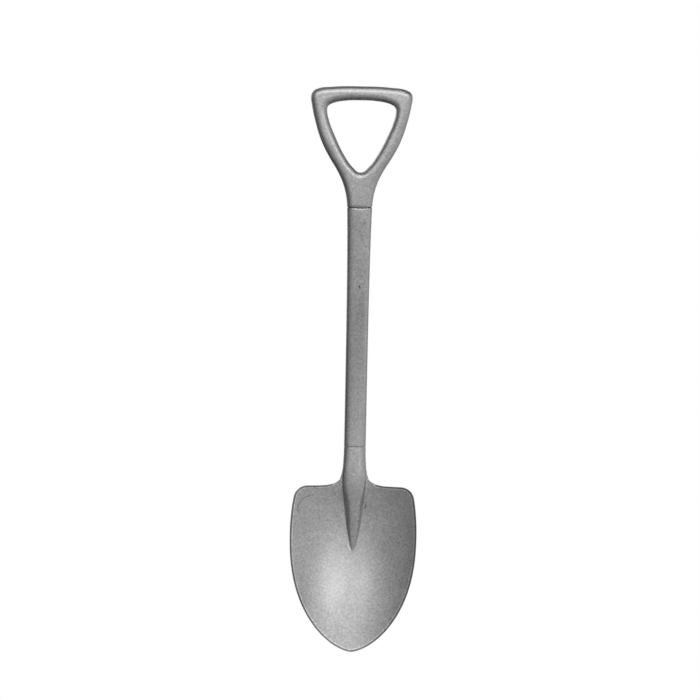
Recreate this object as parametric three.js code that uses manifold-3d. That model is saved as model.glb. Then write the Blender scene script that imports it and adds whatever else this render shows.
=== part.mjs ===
// A compact all-metal digging shovel: a cast D-grip pinned into an oval tube shaft, and the shaft's swaged
// end pinned into the rolled socket of a pressed, dished, round-point blade.
// Millimetres. +Z runs up the shaft and the hollow side of the blade faces -Y. The pieces are built on the
// shaft's axis with the blade's tip at Z = 0, and the finished shovel then moves down until the origin is on
// the underside of the crossbar, where a peg holds it.
import * as THREE from "three";
import { mergeVertices } from "three/addons/utils/BufferGeometryUtils.js";
import Module from "manifold-3d";

const wasm = await Module();
wasm.setup();

// ---- Driving dimensions -------------------------------------------------------------------------------

const OVERALL_LENGTH = 700;

const BLADE = {
  halfWidth: 77.5, // of the front face, at its widest
  shoulder: 204, // height of the flat shoulders above the tip
  sheet: 2, // thickness of the pressed sheet
  crossRadius: 150, // radius of the dish across the blade
  dishDepth: 9, // how far the lowest line of the dish lies behind the shaft's axis
  tipRise: 23, // how far the tip comes forward of that line
  heelRise: 7, // how far the heel comes forward of it
  cornerRadius: 16.5, // of the shoulders' outer corners
};

const SOCKET = {
  length: 49, // from the shoulders up to the mouth
  seam: 1.6, // gap between the rolled edges at the back
  clearance: 0.5, // between the socket's wall and the shaft's swaged end
};

const SHAFT = {
  topHalfWidth: 15.6,
  bottomHalfWidth: 13.4,
  halfDepth: 8.8,
  wall: 1.6,
  tenon: 40, // length of the swaged end inside the socket
  jointGap: 0.4, // visible line between two pieces that meet end to end
};

const GRIP = {
  length: 150, // from the top of the crossbar to the joint with the shaft
  halfWidth: 63.1,
  bar: 17.5, // width of the crossbar, seen from the front
  halfDepth: 8.6,
  edgeRadius: 7.8, // the bars are rounded over this width from each edge
  tenon: 45, // length inside the shaft
  neck: 42, // height over which the round neck fades into the flat loop
  backLand: 7.3, // the casting's back is flat at this distance behind the shaft's axis
};

const PIN = {
  radius: 2.4,
  clearance: 0.2, // around the pin, in every hole it passes through
  flush: 0.1, // each end stops this far inside the surface around it
};

// ---- Heights that follow from them --------------------------------------------------------------------

const widestHeight = 0.706 * BLADE.shoulder;
const dishHeight = 0.637 * BLADE.shoulder; // where the dish is deepest
const ridgeTip = 0.609 * BLADE.shoulder; // where the socket's ridge dies into the dish
const tipSlope = Math.atan((2 * BLADE.tipRise) / dishHeight);
const tipLift = BLADE.sheet * Math.sin(tipSlope); // the front face's tip above the back face's
const bladeTop = BLADE.shoulder + SOCKET.length;
const webTop = BLADE.shoulder + 8; // inner corner between a shoulder and the socket
const ridgeTop = BLADE.shoulder + 17; // where the ridge is widest and becomes the socket
const socketClosed = bladeTop - 15; // above this the sheet's edges meet at the back
const shaftBottom = bladeTop + SHAFT.jointGap;
const shaftTop = OVERALL_LENGTH - GRIP.length - SHAFT.jointGap;
const gripBottom = OVERALL_LENGTH - GRIP.length;

// ---- Small mathematics --------------------------------------------------------------------------------

const mix = THREE.MathUtils.lerp;
const smooth = THREE.MathUtils.smoothstep;

/** The larger of two values, rounded off over about `r` where they cross. */
const softMax = (a, b, r) => (a + b + Math.hypot(a - b, r)) / 2;
const softMin = (a, b, r) => -softMax(-a, -b, r);

/** A point of a unit superellipse at an angle measured from +X. */
function superellipse(angle, power) {
  const bend = (v) => Math.sign(v) * Math.abs(v) ** (2 / power);
  return [bend(Math.cos(angle)), bend(Math.sin(angle))];
}

// ---- Solids -------------------------------------------------------------------------------------------

/** A closed three.js geometry as a manifold solid. */
function solid(geometry) {
  const bare = geometry.clone();
  bare.deleteAttribute("normal");
  bare.deleteAttribute("uv");
  const merged = mergeVertices(bare, 1e-4);
  return new wasm.Manifold(
    new wasm.Mesh({
      numProp: 3,
      vertProperties: merged.attributes.position.array,
      triVerts: new Uint32Array(merged.index.array),
    }),
  );
}

/** A manifold solid as a three.js geometry. */
function geometryOf(shape) {
  const mesh = shape.getMesh();
  return new THREE.BufferGeometry()
    .setAttribute("position", new THREE.BufferAttribute(new Float32Array(mesh.vertProperties), 3))
    .setIndex(new THREE.BufferAttribute(new Uint32Array(mesh.triVerts), 1));
}

/** Moves each vertex of a geometry to the place that `move` gives for it. */
function warp(geometry, move) {
  const position = geometry.attributes.position;
  const v = new THREE.Vector3();
  for (let i = 0; i < position.count; i += 1) {
    v.copy(move(v.fromBufferAttribute(position, i)));
    position.setXYZ(i, v.x, v.y, v.z);
  }
  return geometry;
}

/** A solid bar up the Z axis. `section(z)` gives { halfWidth, halfDepth, centre, power } at each height. */
function bar(section, low, high, steps, sides = 48) {
  const unit = new THREE.CylinderGeometry(1, 1, 1, sides, steps).rotateX(Math.PI / 2);
  return solid(
    warp(unit, (v) => {
      const z = mix(low, high, v.z + 0.5);
      const s = section(z);
      const [x, y] = superellipse(Math.atan2(v.y, v.x), s.power);
      const reach = Math.hypot(v.x, v.y);
      return new THREE.Vector3(x * s.halfWidth * reach, s.centre + y * s.halfDepth * reach, z);
    }),
  );
}

/** The same section taken in by `inset` all round. */
const shrunk = (section, inset) => (z) => {
  const s = section(z);
  return { ...s, halfWidth: s.halfWidth - inset, halfDepth: s.halfDepth - inset };
};

/** A round rod across the shovel, along X. */
function crossRod(radius, z, halfLength) {
  return solid(
    new THREE.CylinderGeometry(radius, radius, 2 * halfLength, 24).rotateZ(Math.PI / 2).translate(0, 0, z),
  );
}

// ---- The shaft's outside ------------------------------------------------------------------------------

/** The oval tube: widest under the grip, and a little squarer towards the socket. */
function shaftSection(z) {
  const swell = Math.exp((z - shaftTop) / 70);
  const height = (z - shaftBottom) / (shaftTop - shaftBottom);
  return {
    halfWidth: SHAFT.bottomHalfWidth + (SHAFT.topHalfWidth - SHAFT.bottomHalfWidth) * swell,
    halfDepth: SHAFT.halfDepth,
    centre: 0,
    power: mix(2.9, 2.6, THREE.MathUtils.clamp(height, 0, 1)),
  };
}

// ---- The blade's shape --------------------------------------------------------------------------------

/** Half the blade's width at a height, below its shoulders. */
function bladeHalfWidth(z) {
  const below = Math.min(Math.max(widestHeight - z, 0) / (widestHeight - tipLift), 1);
  const above = Math.max(z - widestHeight, 0) / (BLADE.shoulder - widestHeight);
  return BLADE.halfWidth * (1 - below ** 2.32) ** 0.62 - 6.5 * above ** 2;
}

/** How far behind the shaft's axis the dish lies. */
function dish(x, z) {
  const rise =
    z < dishHeight
      ? BLADE.tipRise * ((dishHeight - z) / dishHeight) ** 2
      : BLADE.heelRise * ((z - dishHeight) / (BLADE.shoulder - dishHeight)) ** 2;
  return BLADE.dishDepth - rise - (x * x) / (2 * BLADE.crossRadius);
}

/** Half the width of the ridge, and of the socket that it becomes. */
function ridgeHalfWidth(z) {
  const up = Math.max(z - ridgeTip, 0) / (ridgeTop - ridgeTip);
  const ridge = 1.17 * SHAFT.bottomHalfWidth * up ** 0.55;
  const socket = SHAFT.bottomHalfWidth + 2.4 * Math.exp((ridgeTop - z) / 11);
  return softMin(ridge, socket, 1.2);
}

/** The front line of the ridge and socket, straight above its bend and sloping back into the dish below. */
function crest(z) {
  const up = Math.max(z - ridgeTip, 0) / (ridgeTop - ridgeTip);
  const slope = mix(dish(0, z), -SHAFT.halfDepth, up ** 0.95);
  return softMax(-SHAFT.halfDepth, slope, 0.8);
}

/** 0 in the dish, 1 where the socket has sides. */
const sideWall = (z) => smooth(z, BLADE.shoulder - 24, webTop + 2);

/** How much of the ridge's height a point has: 1 on its top line and 0 beside it. */
function ridgeLift(x, z) {
  if (z <= ridgeTip) return 0;
  const wall = sideWall(z);
  const across = Math.min(Math.abs(x) / Math.max(ridgeHalfWidth(z), 0.01), 4);
  const power = mix(1, shaftSection(shaftBottom).power, wall);
  return softMax(1 - across ** 3, 0, 0.06 * (1 - wall)) ** (1 / power);
}

/** The front face of the sheet where it can be seen whole from the front: the dish with its raised ridge. */
const pressedFace = (x, z) => dish(x, z) + (crest(z) - dish(0, z)) * ridgeLift(x, z);

/** The ridge and the socket's front. The ground they rise from comes forward as the socket's sides form. */
function ridgeFace(x, z) {
  const flat = 1 - sideWall(z);
  return dish(x, z) * flat + (crest(z) - dish(0, z) * flat) * ridgeLift(x, z);
}

/** The outline from a little above the widest point, round the shoulder, to the corner under the socket. */
const shoulderOutline = (() => {
  const start = widestHeight + 20;
  const arcStart = BLADE.shoulder - 0.85 * BLADE.cornerRadius;
  const arcCentre = bladeHalfWidth(arcStart) - BLADE.cornerRadius;
  const webHalfWidth = 1.34 * SHAFT.bottomHalfWidth;
  const points = [];
  for (let i = 0; i < 4; i += 1) {
    const z = mix(start, arcStart, i / 4);
    points.push(new THREE.Vector2(bladeHalfWidth(z), z));
  }
  for (let i = 0; i <= 6; i += 1) {
    const turn = mix(0.16, Math.PI / 2, i / 6);
    const z = BLADE.shoulder - BLADE.cornerRadius * (1 - Math.sin(turn));
    points.push(new THREE.Vector2(arcCentre + BLADE.cornerRadius * Math.cos(turn), z));
  }
  for (let i = 1; i <= 12; i += 1) {
    const x = mix(webHalfWidth, arcCentre, (1 - i / 12) ** 2);
    const sweep = (webTop - BLADE.shoulder) * Math.exp((webHalfWidth - x) / 8);
    points.push(new THREE.Vector2(x, BLADE.shoulder + sweep));
  }
  return { start, curve: new THREE.SplineCurve(points) };
})();

/** The sheet's edge at a row: where that row ends, as { x, y, z }. */
function sheetEdge(z) {
  const { start, curve } = shoulderOutline;
  if (z <= start) {
    const tipEdge = 8; // the lowest row runs round the tip, and ends this far above it
    const edgeZ = z + tipEdge * (1 - (z - tipLift) / (start - tipLift));
    const x = bladeHalfWidth(edgeZ);
    return { x, y: dish(x, edgeZ), z: edgeZ };
  }
  if (z <= webTop) {
    const p = curve.getPointAt((z - start) / (webTop - start));
    return { x: p.x, y: dish(p.x, p.y), z: p.y };
  }
  const corner = curve.getPointAt(1);
  const wrap = smooth(z, webTop, socketClosed);
  const path = new THREE.QuadraticBezierCurve(
    new THREE.Vector2(corner.x, dish(corner.x, corner.y)),
    new THREE.Vector2(1.12 * SHAFT.bottomHalfWidth, SHAFT.halfDepth + 0.5),
    new THREE.Vector2(SOCKET.seam / 2, SHAFT.halfDepth),
  );
  const p = path.getPoint(wrap);
  return { x: p.x, y: p.y, z };
}

const RIDGE_SHARE = 0.42; // share of each row's points that lies on the ridge or the socket's front

/** Half the width of the band of points that holds the ridge, and spreads out below it. */
function bandHalfWidth(z, edgeX) {
  const spread = 0.3 * edgeX * smooth(ridgeTip + 8 - z, 0, ridgeTip);
  return softMax(1.1 * ridgeHalfWidth(z), 3 + spread, 1) - 0.1 * ridgeHalfWidth(z) * smooth(z, 180, ridgeTop);
}

/** A point on the sheet's front face. `across` runs from -1 to 1, and `z` is the row's height at the middle. */
function sheetFace(across, z) {
  const side = Math.sign(across) || 1;
  const along = Math.abs(across);
  const edge = sheetEdge(z);
  const wall = sideWall(z);
  const wrap = smooth(z, webTop, socketClosed);
  const inner = bandHalfWidth(z, edge.x);
  const inBlade = z <= shoulderOutline.start;
  if (along <= RIDGE_SHARE) {
    const x = Math.sin((along / RIDGE_SHARE) * (Math.PI / 2)) ** 0.8 * inner;
    const rowZ = z + (edge.z - z) * (x / edge.x) ** 1.61 * inBlade;
    return new THREE.Vector3(side * x, ridgeFace(x, rowZ), rowZ);
  }
  const t = (along - RIDGE_SHARE) / (1 - RIDGE_SHARE);
  const bezier = (a, b, c) => (1 - t) ** 2 * a + 2 * t * (1 - t) * b + t ** 2 * c;
  const rootY = ridgeFace(inner, z);
  const bendX = inner + 1.2 * (1 - wrap);
  const bendY = mix(dish(bendX, z), SHAFT.halfDepth, wrap);
  const x = mix(mix(inner, edge.x, t), bezier(inner, bendX, edge.x), wall);
  const rowZ = inBlade ? z + (edge.z - z) * (x / edge.x) ** 1.61 : mix(z, edge.z, t);
  const dished = pressedFace(x, rowZ) + (rootY - pressedFace(inner, z)) * (1 - t) ** 6;
  return new THREE.Vector3(side * x, mix(dished, bezier(rootY, bendY, edge.y), wall), rowZ);
}

/** The front face's own direction at a point, towards the back. */
function faceNormal(across, z) {
  const step = 0.01;
  const a0 = Math.max(across - step, -1);
  const a1 = Math.min(across + step, 1);
  const z0 = Math.max(z - 0.5, tipLift);
  const z1 = Math.min(z + 0.5, bladeTop);
  const alongRow = sheetFace(a1, z).sub(sheetFace(a0, z));
  const upRows = sheetFace(across, z1).sub(sheetFace(across, z0));
  return upRows.cross(alongRow).normalize();
}

/** The direction from the sheet's front face to its back, eased round the tight bends beside the ridge. */
function sheetNormal(across, z) {
  const total = new THREE.Vector3();
  for (const da of [-0.04, -0.02, 0, 0.02, 0.04]) {
    for (const dz of [-2, 0, 2]) {
      const a = THREE.MathUtils.clamp(across + da, -1, 1);
      total.add(faceNormal(a, THREE.MathUtils.clamp(z + dz, tipLift, bladeTop)));
    }
  }
  return total.normalize();
}

// ---- The pieces ---------------------------------------------------------------------------------------

/** Heights of the sheet's rows at the middle: closest together round the shoulders and the web. */
const rowHeight = (() => {
  const round = (share) => mix(shoulderOutline.start, webTop, share);
  const stretches = [
    [tipLift, 19],
    [ridgeTip, 8],
    [round(0), 3],
    [round(0.2), 7],
    [round(0.48), 7],
    [round(0.8), 8],
    [webTop, 12],
    [bladeTop, 0],
  ];
  const heights = stretches.flatMap(([low, n], i) =>
    Array.from({ length: n }, (_, k) => mix(low, stretches[i + 1][0], k / n)),
  );
  return [...heights, bladeTop];
})();

/** The pressed blade with its ridge and rolled socket, as one sheet. */
function bladeSheet() {
  const columns = 42;
  const rows = rowHeight.length - 1;
  const unit = new THREE.BoxGeometry(2, 1, 1, columns, rows, 1).rotateX(Math.PI / 2);
  return solid(
    warp(unit, (v) => {
      const z = rowHeight[Math.round((v.z + 0.5) * rows)];
      const face = sheetFace(v.x, z);
      return v.y < 0 ? face : face.addScaledVector(sheetNormal(v.x, z), BLADE.sheet);
    }),
  );
}

const gripPinHeights = [gripBottom - 14, gripBottom - 32];
const socketPinHeights = [bladeTop - 9, bladeTop - 26];

/** Holes for the pins, through every piece they cross. */
function pinHoles(heights) {
  return heights
    .map((z) => crossRod(PIN.radius + PIN.clearance, z, 2 * SHAFT.topHalfWidth))
    .reduce((a, b) => a.add(b));
}

/** The shaft's swaged end, which follows the inside of the socket. */
function tenonSection(z) {
  const inset = BLADE.sheet + SOCKET.clearance;
  const front = crest(z) + inset;
  const back = SHAFT.halfDepth - inset;
  return {
    halfWidth: SHAFT.bottomHalfWidth - inset - 1.6 * smooth(bladeTop - z, 20, SHAFT.tenon),
    halfDepth: (back - front) / 2,
    centre: (back + front) / 2,
    power: shaftSection(shaftBottom).power,
  };
}

function shaftTube() {
  const outside = bar(shaftSection, shaftBottom, shaftTop, 10);
  const inside = bar(shrunk(shaftSection, SHAFT.wall), shaftBottom + 4, shaftTop + 1, 6);
  const tenonLow = bladeTop - SHAFT.tenon;
  const tenon = bar(tenonSection, tenonLow, shaftBottom + 2, 6);
  const tenonInside = bar(shrunk(tenonSection, SHAFT.wall), tenonLow - 1, shaftBottom + 5, 6);
  return outside
    .subtract(inside)
    .add(tenon)
    .subtract(tenonInside)
    .subtract(pinHoles([...gripPinHeights, ...socketPinHeights]));
}

/** Half outlines of the grip, seen from the front, from bottom to top, as points with x >= 0. */
function gripOutlines() {
  const top = OVERALL_LENGTH;
  const cornerRadius = 8.7;
  const cornerX = GRIP.halfWidth - cornerRadius;
  const cornerZ = top - 12;
  const v = (x, z) => new THREE.Vector2(x, z);
  const outerSide = new THREE.SplineCurve([
    v(SHAFT.topHalfWidth - 0.3, gripBottom - 1.5 * GRIP.edgeRadius),
    v(SHAFT.topHalfWidth, gripBottom),
    v(16.4, top - 140),
    v(20.4, top - 123),
    v(28.2, top - 105.5),
    v(39.4, top - 87.5),
    v(48.9, top - 69),
    v(55.3, top - 50),
    v(59.9, top - 32),
    v(cornerX + cornerRadius * Math.cos(0.17), cornerZ - cornerRadius * Math.sin(0.17)),
  ]);
  const corner = new THREE.EllipseCurve(cornerX, cornerZ, cornerRadius, cornerRadius, -0.17, 1.49);
  const cornerEnd = corner.getPoint(1);
  const topEdge = new THREE.QuadraticBezierCurve(cornerEnd, v(cornerX / 2, top), v(0, top));
  const outer = [
    ...outerSide.getSpacedPoints(26).slice(0, -1),
    ...corner.getPoints(8).slice(0, -1),
    ...topEdge.getPoints(6),
  ];
  const holeTop = top - GRIP.bar;
  const holeBottom = top - 106.8;
  const holeCorner = v(42.4, holeTop - 12.5);
  const holeBend = v(34, holeTop - 3.4);
  const sideStart = v(9.4, holeBottom + 6.6);
  const holeCurves = [
    new THREE.CubicBezierCurve(
      v(0, holeBottom),
      v(3.4, holeBottom),
      v(6.2, holeBottom + 1.9),
      sideStart,
    ),
    new THREE.CubicBezierCurve(
      sideStart,
      v(24, holeBottom + 28.2),
      v(39.8, holeBottom + 52),
      holeCorner,
    ),
    new THREE.CubicBezierCurve(
      holeCorner,
      v(43.2, holeCorner.y + 5),
      v(40, holeBend.y - 0.9),
      holeBend,
    ),
    new THREE.CubicBezierCurve(holeBend, v(23.5, holeTop - 1.8), v(12, holeTop), v(0, holeTop)),
  ];
  const hole = [5, 14, 6, 7].flatMap((n, i) => holeCurves[i].getPoints(n).slice(0, -1));
  return { outer, hole: [...hole, v(0, holeTop)] };
}

/** A closed outline from its right half, whose two ends may lie on the axis. */
function mirrored(half) {
  const left = half.filter((p) => p.x > 0).map((p) => new THREE.Vector2(-p.x, p.y));
  return [...half, ...left.reverse()];
}

/** The casting's neck: the shaft's own section at the joint, sinking into the flat loop above it. */
function neckSection(z) {
  const up = (z - gripBottom) / GRIP.neck;
  const joint = shaftSection(shaftTop);
  return {
    ...joint,
    halfWidth: joint.halfWidth - 0.6 * up,
    halfDepth: mix(joint.halfDepth, 0.7 * GRIP.backLand, up * up),
  };
}

function dGrip() {
  const { outer, hole } = gripOutlines();
  const shape = new THREE.Shape(mirrored(outer));
  shape.holes.push(new THREE.Path(mirrored(hole)));
  const flat = 2 * (GRIP.halfDepth - GRIP.edgeRadius);
  const plate = new THREE.ExtrudeGeometry(shape, {
    depth: flat,
    bevelEnabled: true,
    bevelThickness: GRIP.edgeRadius,
    bevelSize: GRIP.edgeRadius,
    bevelOffset: -GRIP.edgeRadius,
    bevelSegments: 5,
  });
  const loop = solid(plate.rotateX(Math.PI / 2).translate(0, flat / 2, 0));
  const behind = solid(new THREE.BoxGeometry(200, 20, 400).translate(0, GRIP.backLand + 10, gripBottom + 100));
  const below = solid(new THREE.BoxGeometry(200, 100, 100).translate(0, 0, gripBottom - 50));
  const neck = bar(neckSection, gripBottom, gripBottom + GRIP.neck, 8);
  const inset = SHAFT.wall + SOCKET.clearance;
  const tenon = bar(shrunk(shaftSection, inset), gripBottom - GRIP.tenon, gripBottom + 6, 4);
  return loop.subtract(behind).subtract(below).add(neck).add(tenon).subtract(pinHoles(gripPinHeights));
}

/** A pin across the shaft, its ends following the surface of the piece that it ends in. */
function crossPin(z, outside) {
  return crossRod(PIN.radius, z, 2 * SHAFT.topHalfWidth).intersect(outside);
}

const aroundGripPins = bar(shrunk(shaftSection, PIN.flush), gripBottom - GRIP.tenon, shaftTop, 8, 64);

/** The socket's outside near its pins, for trimming them. */
function socketSection(z) {
  return {
    halfWidth: ridgeHalfWidth(z),
    halfDepth: SHAFT.halfDepth,
    centre: 0,
    power: shaftSection(shaftBottom).power,
  };
}
const aroundSocketPins = bar(shrunk(socketSection, PIN.flush), bladeTop - SHAFT.tenon, bladeTop, 10, 64);

// ---- Materials and assembly ---------------------------------------------------------------------------

const tumbledSteel = new THREE.MeshStandardMaterial({ color: 0x8f8f90, roughness: 0.42, metalness: 1 });
const castSteel = new THREE.MeshStandardMaterial({ color: 0x969697, roughness: 0.45, metalness: 1 });
const pinSteel = new THREE.MeshStandardMaterial({ color: 0xa2a2a3, roughness: 0.35, metalness: 1 });

const shovel = new THREE.Group();

function addPiece(name, shape, material) {
  const mesh = new THREE.Mesh(geometryOf(shape), material);
  mesh.name = name;
  shovel.add(mesh);
}

addPiece("blade", bladeSheet().subtract(pinHoles(socketPinHeights)), tumbledSteel);
addPiece("shaft_tube", shaftTube(), tumbledSteel);
addPiece("d_grip", dGrip(), castSteel);
["upper", "lower"].forEach((place, i) => {
  addPiece(`grip_pin_${place}`, crossPin(gripPinHeights[i], aroundGripPins), pinSteel);
  addPiece(`socket_pin_${place}`, crossPin(socketPinHeights[i], aroundSocketPins), pinSteel);
});

shovel.position.z = GRIP.bar - OVERALL_LENGTH;

export default shovel;
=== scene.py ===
# %% [markdown]
# # A compact all-steel digging shovel
#
# The shovel has three large pieces of steel: a cast D-shaped grip, an oval tube for a shaft, and a pressed
# blade whose top is rolled into a socket. Four short cross pins hold them together. Everything has the same
# dull, stone-tumbled finish.
#
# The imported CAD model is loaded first. It fixes every size and place, and the pieces made here stand in for
# its faceted solids with smooth surfaces, rounded edges and a real finish.

import bisect
import math

import bpy
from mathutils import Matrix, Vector
from mathutils.kdtree import KDTree


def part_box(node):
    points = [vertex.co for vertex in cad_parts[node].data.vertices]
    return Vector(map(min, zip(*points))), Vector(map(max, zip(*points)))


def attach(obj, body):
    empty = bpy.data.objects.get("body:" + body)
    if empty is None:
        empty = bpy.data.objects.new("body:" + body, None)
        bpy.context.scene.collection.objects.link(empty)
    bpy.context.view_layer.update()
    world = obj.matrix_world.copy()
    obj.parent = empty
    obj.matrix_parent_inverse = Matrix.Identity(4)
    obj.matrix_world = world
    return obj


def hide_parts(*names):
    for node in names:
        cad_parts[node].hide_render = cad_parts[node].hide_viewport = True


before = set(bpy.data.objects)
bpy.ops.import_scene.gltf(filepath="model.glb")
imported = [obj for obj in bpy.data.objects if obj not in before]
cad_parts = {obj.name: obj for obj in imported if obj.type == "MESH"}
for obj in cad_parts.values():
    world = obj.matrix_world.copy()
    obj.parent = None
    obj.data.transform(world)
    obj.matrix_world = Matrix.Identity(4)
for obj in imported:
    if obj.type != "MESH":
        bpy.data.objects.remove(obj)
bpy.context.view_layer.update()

# %% [markdown]
# ## Heights
#
# Blender works in metres. The shovel is easier to think about in millimetres, as heights above the point of
# its blade, so one small helper turns such a place into Blender's own. The heights of the joints come from
# the CAD nodes: the frame's origin is under the crossbar, where the shovel hangs.

# %% Heights of the joints above the blade's tip
MM = 0.001
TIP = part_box("blade")[0].z


def place(x, y, z):
    """A point in metres, from millimetres. z is the height above the blade's tip."""
    return Vector((x * MM, y * MM, z * MM + TIP))


def height_of(level):
    """A level of the CAD model, in metres, as a height above the tip in millimetres."""
    return (level - TIP) / MM


HAIR = 0.02  # the smooth pieces stay this much inside the CAD box
TOP = height_of(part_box("d_grip")[1].z) - HAIR
SOCKET_MOUTH = height_of(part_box("blade")[1].z)
SHAFT_TOP = height_of(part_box("shaft_tube")[1].z)
JOINT_GAP = 0.4
SHAFT_FOOT = SOCKET_MOUTH + JOINT_GAP
GRIP_FOOT = SHAFT_TOP + JOINT_GAP
print(f"grip {GRIP_FOOT:.1f} to {TOP:.1f}, shaft {SHAFT_FOOT:.1f} to {SHAFT_TOP:.1f}")
print(f"blade 0 to {SOCKET_MOUTH:.1f}")

# %% [markdown]
# ## Shader helpers
#
# The room's light and the steel's finish are both worked out by shader nodes. These few functions make the
# common ones, so that a sum of nodes reads like a sum.

# %% Small helpers for shader nodes
def new_group(name, inputs, outputs):
    """An empty shader group. Inputs are (name, kind, value) and outputs are names of plain values."""
    group = bpy.data.node_groups.new(name, "ShaderNodeTree")
    for socket, kind, value in inputs:
        made = group.interface.new_socket(name=socket, in_out="INPUT", socket_type=kind)
        if value is not None:
            made.default_value = value
    for socket in outputs:
        group.interface.new_socket(name=socket, in_out="OUTPUT", socket_type="NodeSocketFloat")
    return group, group.nodes.new("NodeGroupInput"), group.nodes.new("NodeGroupOutput")


def feed(tree, socket, value):
    """Links a node's output to a socket, or sets the socket to a number or vector."""
    if isinstance(value, bpy.types.NodeSocket):
        tree.links.new(value, socket)
    else:
        socket.default_value = value


def maths(tree, operation, a, b=0.0):
    node = tree.nodes.new("ShaderNodeMath")
    node.operation = operation
    feed(tree, node.inputs[0], a)
    feed(tree, node.inputs[1], b)
    return node.outputs[0]


def vectors(tree, operation, a, b):
    node = tree.nodes.new("ShaderNodeVectorMath")
    node.operation = operation
    feed(tree, node.inputs[0], a)
    feed(tree, node.inputs[1], b)
    return node.outputs["Value"] if operation in ("LENGTH", "DOT_PRODUCT") else node.outputs[0]


def span(tree, value, low, high, to_low=0.0, to_high=1.0, soft=False):
    """Spreads a value from one range to another, clamped."""
    node = tree.nodes.new("ShaderNodeMapRange")
    node.interpolation_type = "SMOOTHSTEP" if soft else "LINEAR"
    for socket, number in zip(node.inputs[:5], (value, low, high, to_low, to_high)):
        feed(tree, socket, number)
    return node.outputs["Result"]


def noise(tree, where, scale, detail=2.0, roughness=0.5, distortion=0.0):
    node = tree.nodes.new("ShaderNodeTexNoise")
    feed(tree, node.inputs["Vector"], where)
    feed(tree, node.inputs["Scale"], scale)
    node.inputs["Detail"].default_value = detail
    node.inputs["Roughness"].default_value = roughness
    node.inputs["Distortion"].default_value = distortion
    return node.outputs["Fac"]


print("shader helpers ready")


# %% [markdown]
# ## The camera and the light
#
# The camera looks straight at the hollow side through a long lens, so that the shovel's two ends are seen
# square on. It is rolled by about a degree, because the shovel leans a little to the right.
#
# Bare metal shows what is around it, so the light is made for the metal. A wide soft box stands high in front
# for the grip and the upper shaft, a smaller one beside it on the right gives the right edges their bright
# line, and a weak one overhead touches the top of the crossbar. Two more hang in front of the blade behind
# honeycomb grids, so that they light the dish and leave the shaft alone. The last one stands behind, on the
# left, for the back. The room is a sum of soft patches in the world shader. It is darkest on the left, which
# draws the dark line down each left edge, and only the camera sees it as plain white.

# %% Camera
camera_data = bpy.data.cameras.new("camera")
camera_data.lens = 200  # millimetres, as is the sensor
camera_data.sensor_width = 36
camera = bpy.data.objects.new("camera", camera_data)
bpy.context.scene.collection.objects.link(camera)
bpy.context.scene.camera = camera

PICTURE_WIDTH = 0.8674  # metres across the picture, at the shovel
PICTURE_MIDDLE = place(-8.4, 0, 373)
LEAN = 1.14  # degrees
distance = PICTURE_WIDTH * camera_data.lens / camera_data.sensor_width
camera.location = PICTURE_MIDDLE + Vector((0, -distance, 0))
camera.rotation_euler = (math.radians(90), math.radians(-LEAN), 0)
camera_data.clip_end = 100
print(f"camera {distance:.2f} m in front of the shovel")


# %% Room: white to the camera, soft bright patches for everything else
ROOM_FLOOR = 0.01  # brightness between the patches
PATCH_POWER = 4.0  # how fast a patch fades away from its middle
ROOM_PATCHES = (
    # towards, brightness
    ((-0.5, -1.0, 0.6), 0.28),
    ((-0.5, -1.0, -0.6), 0.27),
    ((0.6, -0.9, -0.6), 0.27),
    ((0.0, -1.0, 0.0), 0.08),
    ((1.0, -0.3, 0.0), 0.65),
    ((-1.0, -0.3, 0.0), 0.04),
    ((-0.5, 1.0, 0.5), 0.65),
    ((0.5, 1.0, -0.2), 0.60),
)


def build_room():
    world = bpy.data.worlds.new("studio")
    bpy.context.scene.world = world
    world.use_nodes = True
    tree = world.node_tree
    tree.nodes.clear()
    looking = tree.nodes.new("ShaderNodeTexCoord").outputs["Generated"]
    total = ROOM_FLOOR
    for towards, brightness in ROOM_PATCHES:
        facing = vectors(tree, "DOT_PRODUCT", looking, Vector(towards).normalized())
        patch = maths(tree, "POWER", maths(tree, "MAXIMUM", facing, 0.0), PATCH_POWER)
        total = maths(tree, "ADD", maths(tree, "MULTIPLY", patch, brightness), total)
    room, seen = tree.nodes.new("ShaderNodeBackground"), tree.nodes.new("ShaderNodeBackground")
    feed(tree, room.inputs["Color"], total)
    seen.inputs["Color"].default_value = (1, 1, 1, 1)
    path = tree.nodes.new("ShaderNodeLightPath")
    mixer, out = tree.nodes.new("ShaderNodeMixShader"), tree.nodes.new("ShaderNodeOutputWorld")
    tree.links.new(path.outputs["Is Camera Ray"], mixer.inputs["Fac"])
    tree.links.new(room.outputs["Background"], mixer.inputs[1])
    tree.links.new(seen.outputs["Background"], mixer.inputs[2])
    tree.links.new(mixer.outputs["Shader"], out.inputs["Surface"])
    return world


bpy.context.scene.view_settings.view_transform = "Standard"
print("room:", build_room().name)


# %% Soft boxes
def soft_box(name, where, towards, width, height, power, grid=180):
    """A rectangular soft box. grid is the angle of its beam in degrees, narrow behind a honeycomb grid."""
    light = bpy.data.lights.new(name, "AREA")
    light.shape = "RECTANGLE"
    light.size = width
    light.size_y = height
    light.energy = power
    light.spread = math.radians(grid)
    lamp = bpy.data.objects.new(name, light)
    bpy.context.scene.collection.objects.link(lamp)
    lamp.location = where
    lamp.rotation_euler = (Vector(towards) - Vector(where)).to_track_quat("-Z", "Y").to_euler()
    return lamp


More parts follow.
